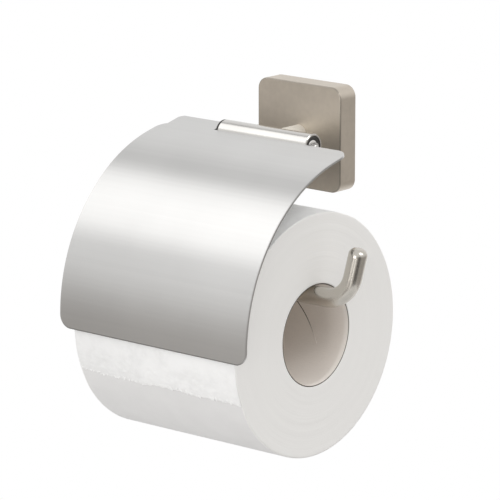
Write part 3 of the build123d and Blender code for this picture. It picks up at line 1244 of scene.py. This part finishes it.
@dataclass
class Hinge:
    """The hinge tube with its bushes, the neck, and the beads where neck and arm join the tube."""

    bright: Metal = Metal(
        "bright_nickel",
        colour=(0.64, 0.625, 0.60),
        roughness=0.19,
        grain=Grain.ALONG_X,
        lines_per_metre=2200.0,
        line_depth=0.003 * MM,
        roughness_swing=0.06,
    )
    cream: Metal = Metal(
        "cream_nickel",
        colour=(0.97, 0.945, 0.89),
        roughness=0.62,
        grain=Grain.ALONG_Y,
        lines_per_metre=2200.0,
        line_depth=0.003 * MM,
        roughness_swing=0.06,
    )
    plastic: MouldedPlastic = MouldedPlastic("black_plastic", (0.034, 0.031, 0.028))
    body: Body = Body.HOLDER
    bead_radius: float = 0.42 * MM
    arm_x: float = -13.0 * MM
    tube_wall: float = 0.9 * MM
    bush_wall: float = 1.9 * MM
    bush_sunk: float = 0.3 * MM

    def __post_init__(self) -> None:
        """Read the tube's and the neck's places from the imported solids."""
        low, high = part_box("hinge_tube")
        self.tube_radius = (high.z - low.z) / 2
        self.tube_right = high.x
        self.tube_y = (low.y + high.y) / 2
        self.tube_z = (low.z + high.z) / 2
        low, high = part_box("neck")
        self.rod_radius = (high.x - low.x) / 2
        self.neck_z = (low.z + high.z) / 2

    def bead(self, rod: Rod, finish: bpy.types.Material, rod_x: float) -> bpy.types.Object:
        """Build the brazed bead round a rod's end on the tube.

        Args:
            rod: Which rod it is.
            finish: The bead's material.
            rod_x: The rod's place along the tube.

        Returns:
            A thin closed bead on the line where rod and tube meet.
        """
        recipe = Recipe(
            rod.value + "_bead",
            finish,
            rod=self.rod_radius,
            tube=self.tube_radius,
            bead=self.bead_radius,
            points=96,
        )
        loop = recipe.node(
            "GeometryNodeCurvePrimitiveCircle", inputs={"Resolution": recipe.size("points")}
        ).outputs[0]
        angle = recipe.index() / recipe.size("points") * TURN
        radius, tube = recipe.size("rod"), recipe.size("tube")
        x = rod_x + radius * angle.cos()
        if rod is Rod.HANGING:
            across = radius * angle.sin()
            y = self.tube_y + across
            z = self.tube_z - (tube * tube - across * across).root()
        else:
            across = radius * angle.sin() + (self.neck_z - self.tube_z)
            y = self.tube_y + (tube * tube - across * across).root()
            z = self.tube_z + across
        return recipe.piece(recipe.swept(recipe.placed(loop, x, y, z), recipe.size("bead"), 8))

    def right_bush(self, finish: bpy.types.Material) -> bpy.types.Object:
        """Build the bush that shows in the tube's right end.

        Args:
            finish: Its material.

        Returns:
            A ring that sits a little way inside the tube's end.
        """
        low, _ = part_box("hinge_bush_right")
        outer = self.tube_radius - self.tube_wall
        recipe = Recipe(
            "right_bush",
            finish,
            back=low.x,
            face=self.tube_right - self.bush_sunk,
            bore=outer - self.bush_wall,
            outer=outer,
            points_round=65,
            points_strip=2,
        )
        back, face, bore, outer = (recipe.size(label) for label in ("back", "face", "bore", "outer"))
        profile = [(back, bore), (back, outer), (face, outer), (face, bore), (back, bore)]
        return recipe.piece(recipe.turned(profile, (self.tube_y, self.tube_z)))

    def build(self) -> None:
        """Dress the hinge's solids and add the beads."""
        bright = self.bright.material()
        dress("hinge_tube", bright)
        dress("neck", self.cream.material())
        plastic = self.plastic.material()
        dress("hinge_bush_left", plastic)
        settle(self.right_bush(plastic), self.body, "black_plastic", "hinge_bush_right")
        settle(self.bead(Rod.FROM_WALL, bright, 0.0), self.body, "bright_nickel")
        settle(self.bead(Rod.HANGING, bright, self.arm_x), self.body, "bright_nickel")


@dataclass
class RollArm:
    """The bent bar that carries the roll."""

    satin: Metal = Metal(
        "satin_arm",
        colour=(0.58, 0.55, 0.50),
        roughness=0.23,
        grain=Grain.ALONG_X,
        lines_per_metre=2000.0,
        line_depth=0.003 * MM,
    )

    def build(self) -> None:
        """Dress the arm."""
        dress("roll_arm", self.satin.material())


@dataclass
class Cover:
    """The bent cover sheet with its lugs and pins."""

    colour: Colour = (0.63, 0.625, 0.615)
    roughness: float = 0.29
    corner: float = 6.0 * MM
    pin_sunk: float = 0.15 * MM
    pin_crown: float = 0.3 * MM
    spigot_radius: float = 1.2 * MM
    turned: Metal = Metal(
        "bright_steel",
        colour=(0.90, 0.885, 0.86),
        roughness=0.36,
        lines_per_metre=2500.0,
        line_depth=0.003 * MM,
    )
    body: Body = Body.FLAP

    def finish(self) -> CutSheet:
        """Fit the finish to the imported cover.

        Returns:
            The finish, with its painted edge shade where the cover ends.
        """
        low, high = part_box("cover")
        return CutSheet(
            "brushed_cover",
            self.colour,
            self.roughness,
            Grain.ALONG_X,
            line_depth=0.003 * MM,
            roughness_swing=0.04,
            mottle_per_metre=30.0,
            mottle_share=0.03,
            half_width=(high.x - low.x) / 2,
            low=low.z,
            corner=self.corner,
        )

    def right_pin(self, finish: bpy.types.Material) -> bpy.types.Object:
        """Build the hinge pin that shows in the tube's right end.

        Args:
            finish: Its material.

        Returns:
            A pin whose shank ends a little way inside the tube, with the spigot that goes on to the lug.
        """
        low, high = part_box("hinge_pin_right")
        recipe = Recipe(
            "right_pin",
            finish,
            tip=low.x,
            face=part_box("hinge_tube")[1].x - self.pin_sunk,
            end=high.x,
            shank=(high.z - low.z) / 2,
            spigot=self.spigot_radius,
            crown=self.pin_crown,
            points_round=65,
            points_strip=3,
        )
        tip, face, end, shank, spigot, crown = (
            recipe.size(label) for label in ("tip", "face", "end", "shank", "spigot", "crown")
        )
        turns = [TURN * k / 24 for k in (6, 5, 4, 3)]  # over the crown, from the shank's side inwards
        dome = [(face - crown * (1 - math.cos(turn)), shank * math.sin(turn)) for turn in turns]
        profile = [(tip, 0.0), (tip, shank), *dome, (face, spigot), (end, spigot), (end, 0.0)]
        return recipe.piece(recipe.turned(profile, ((low.y + high.y) / 2, (low.z + high.z) / 2)))

    def build(self) -> None:
        """Dress the cover's solids and add the pin's end."""
        brushed = self.finish().material()
        turned = self.turned.material()
        for node in ("cover", "hinge_lug_right", "hinge_lug_left"):
            dress(node, brushed)
        dress("hinge_pin_left", turned)
        settle(self.right_pin(turned), self.body, "bright_steel", "hinge_pin_right")


def direction(azimuth: float, elevation: float) -> Vector:
    """Where a place round the object lies.

    Args:
        azimuth: Degrees from the front, positive to the right.
        elevation: Degrees above the horizon.

    Returns:
        A vector of length 1 away from the object.
    """
    turn, rise = math.radians(azimuth), math.radians(elevation)
    return Vector((math.sin(turn) * math.cos(rise), -math.cos(turn) * math.cos(rise), math.sin(rise)))


@dataclass(frozen=True)
class Softbox:
    """A large soft lamp aimed at the object."""

    name: str
    azimuth: float
    elevation: float
    distance: float
    width: float
    height: float
    watts: float
    colour: Colour = (1.0, 1.0, 1.0)

    def build(self, aim: Vector) -> None:
        """Hang the lamp.

        Args:
            aim: Point that the lamp faces.
        """
        light = bpy.data.lights.new(self.name, "AREA")
        light.shape = "RECTANGLE"
        light.size, light.size_y = self.width, self.height
        light.energy = self.watts
        light.color = self.colour
        away = direction(self.azimuth, self.elevation)
        lamp = bpy.data.objects.new(self.name, light)
        lamp.location = aim + away * self.distance
        lamp.rotation_euler = away.to_track_quat("Z", "Y").to_euler()
        bpy.context.scene.collection.objects.link(lamp)


@dataclass(frozen=True)
class SkyPatch:
    """A soft round patch of the surroundings that is lighter or darker than the rest."""

    azimuth: float
    elevation: float
    fades_at: float
    full_at: float
    change: float


@dataclass
class Studio:
    """Pale floor, soft light, pale surroundings and the camera."""

    azimuth: float = 40.31
    elevation: float = 13.23
    camera_place: tuple[float, float, float] = (1.04425, -1.2773, 0.33048)
    focal_pixels: float = 3570.5
    frame_pixels: float = 500.0
    sensor: float = 36.0
    clip: tuple[float, float] = (0.05, 50.0)
    floor_drop: float = 0.42
    floor_radius: float = 0.55
    floor_sides: int = 96
    floor_colour: Colour = (0.66, 0.66, 0.66)
    floor_lift: float = 0.12
    sky: Colour = (0.86, 0.86, 0.86)
    ground: Colour = (0.44, 0.42, 0.40)
    horizon: tuple[float, float] = (-0.30, 0.35)
    white_behind: tuple[float, float] = (0.34, 0.77)
    card_azimuth: float = 63.0
    card_share: float = 0.68
    card_sides: tuple[float, float] = (0.13, 0.32)
    card_top: tuple[float, float] = (0.05, 0.25)
    patches: tuple[SkyPatch, ...] = (
        SkyPatch(-106.0, 49.0, 0.965, 0.995, -0.28),
        SkyPatch(-122.0, 41.0, 0.95, 0.99, 0.20),
        SkyPatch(-43.0, 21.0, 0.90, 0.985, 0.14),
    )
    softboxes: tuple[Softbox, ...] = (
        Softbox("key_softbox", -67.0, 44.0, 3.0, 2.05, 1.4, 7.7),
        Softbox("side_softbox", 98.0, 46.0, 1.8, 0.9, 0.9, 8.2),
        Softbox("front_softbox", 3.0, -2.0, 2.2, 1.1, 1.2, 12.3),
        Softbox("strip_softbox", 21.0, -27.0, 1.2, 0.12, 0.5, 0.36),
        Softbox("low_softbox", -9.0, -22.0, 1.5, 0.65, 0.45, 0.32),
    )

    def camera(self) -> None:
        """Place the camera at the photograph's angle."""
        data = bpy.data.cameras.new("camera")
        data.sensor_width = self.sensor
        data.lens = self.focal_pixels * self.sensor / self.frame_pixels
        data.clip_start, data.clip_end = self.clip
        camera = bpy.data.objects.new("camera", data)
        camera.location = self.camera_place
        camera.rotation_euler = (math.radians(90 - self.elevation), 0.0, math.radians(self.azimuth))
        bpy.context.scene.collection.objects.link(camera)
        bpy.context.scene.camera = camera

    @staticmethod
    def _rays(graph: Graph) -> tuple[Value, Value]:
        """Tell the rays apart that see the background.

        Args:
            graph: The tree that asks.

        Returns:
            1 for rays from the camera, and 1 for rays from a mirror-like surface or through glass.
        """
        path = graph.node("ShaderNodeLightPath").outputs
        camera, glossy, through = (
            Value(graph, path[name]) for name in ("Is Camera Ray", "Is Glossy Ray", "Is Transmission Ray")
        )
        return camera, glossy.at_least(through)

    def floor(self) -> None:
        """Lay a pale round floor that keeps the object's shadow and fades into the surroundings."""
        low, high = CAD_BOX
        middle = (low + high) / 2
        level = low.z - self.floor_drop
        turns = [TURN * k / self.floor_sides for k in range(self.floor_sides)]
        corners = [
            (middle.x + self.floor_radius * math.cos(t), middle.y + self.floor_radius * math.sin(t), level)
            for t in turns
        ]
        mesh = bpy.data.meshes.new("floor")
        mesh.from_pydata(corners, [], [tuple(range(self.floor_sides))])
        floor = bpy.data.objects.new("floor", mesh)
        bpy.context.scene.collection.objects.link(floor)
        shade = Shade("floor")
        x, y, _ = shade.parts(shade.place)
        reach = (x - middle.x).hypot(y - middle.y)
        rim = reach.between(self.floor_radius * 0.45, self.floor_radius * 0.98)
        shade.set(Base_Color=(*self.floor_colour, 1.0), Roughness=0.9, Specular_IOR_Level=0.1)
        white = shade.node("ShaderNodeEmission", inputs={"Color": (1.0, 1.0, 1.0, 1.0), "Strength": 1.0})
        camera, mirrored = self._rays(shade)
        lift = camera.at_least(mirrored) * (self.floor_lift + rim * (1 - self.floor_lift))
        mixed = shade.node(
            "ShaderNodeMixShader", inputs={0: lift, 1: shade.shader.outputs[0], 2: white.outputs[0]}
        )
        shade.feed(shade.output.inputs["Surface"], mixed.outputs[0])
        mesh.materials.append(shade.material)

    def surroundings(self) -> None:
        """Surround the object with a pale sky and a darker lower half, and white behind it."""
        world = bpy.data.worlds.new("surroundings")
        bpy.context.scene.world = world
        world.use_nodes = True
        graph = Graph(world.node_tree)
        graph.tree.nodes.clear()
        ray = graph.node("ShaderNodeTexCoord").outputs["Generated"]
        _, _, height = graph.parts(ray)

        def towards(place: Vector) -> Value:
            """How far a ray goes towards a direction: 1 along it, 0 across it."""
            node = graph.node("ShaderNodeVectorMath", {"operation": "DOT_PRODUCT"}, {0: ray, 1: place})
            return Value(graph, node.outputs["Value"])

        aside = abs(towards(direction(self.card_azimuth + 90, 0.0)))
        in_front = towards(direction(self.card_azimuth, 0.0)).between(0.1, 0.3)
        card = in_front * (1 - aside.between(*self.card_sides)) * (1 - height.between(*self.card_top))
        strength = 1 - card * self.card_share
        for patch in self.patches:
            ahead = towards(direction(patch.azimuth, patch.elevation))
            strength = strength + ahead.between(patch.fades_at, patch.full_at) * patch.change
        tone = graph.mix(height.between(*self.horizon), self.ground, self.sky)
        light = graph.node("ShaderNodeBackground", inputs={"Color": tone, "Strength": strength})
        white = graph.node("ShaderNodeBackground", inputs={"Color": (1.0, 1.0, 1.0, 1.0)})
        camera, mirrored = self._rays(graph)
        behind = towards(-direction(self.azimuth, self.elevation)).between(*self.white_behind)
        seen = camera.at_least(mirrored * behind)
        mixed = graph.node("ShaderNodeMixShader", inputs={0: seen, 1: light.outputs[0], 2: white.outputs[0]})
        graph.node("ShaderNodeOutputWorld", inputs={"Surface": mixed.outputs[0]})

    def build(self) -> None:
        """Set the stage."""
        self.camera()
        self.floor()
        self.surroundings()
        low, high = CAD_BOX
        for softbox in self.softboxes:
            softbox.build((low + high) / 2)
        bpy.context.scene.view_settings.view_transform = "Standard"


def main() -> None:
    """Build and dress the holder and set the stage."""
    logging.basicConfig(level=logging.INFO, format="%(name)s: %(message)s")
    for part in (WallMount(), Hinge(), RollArm(), Cover(), PaperRoll(), Studio()):
        LOG.info("building %s", type(part).__name__)
        part.build()


if __name__ == "__main__":
    main()
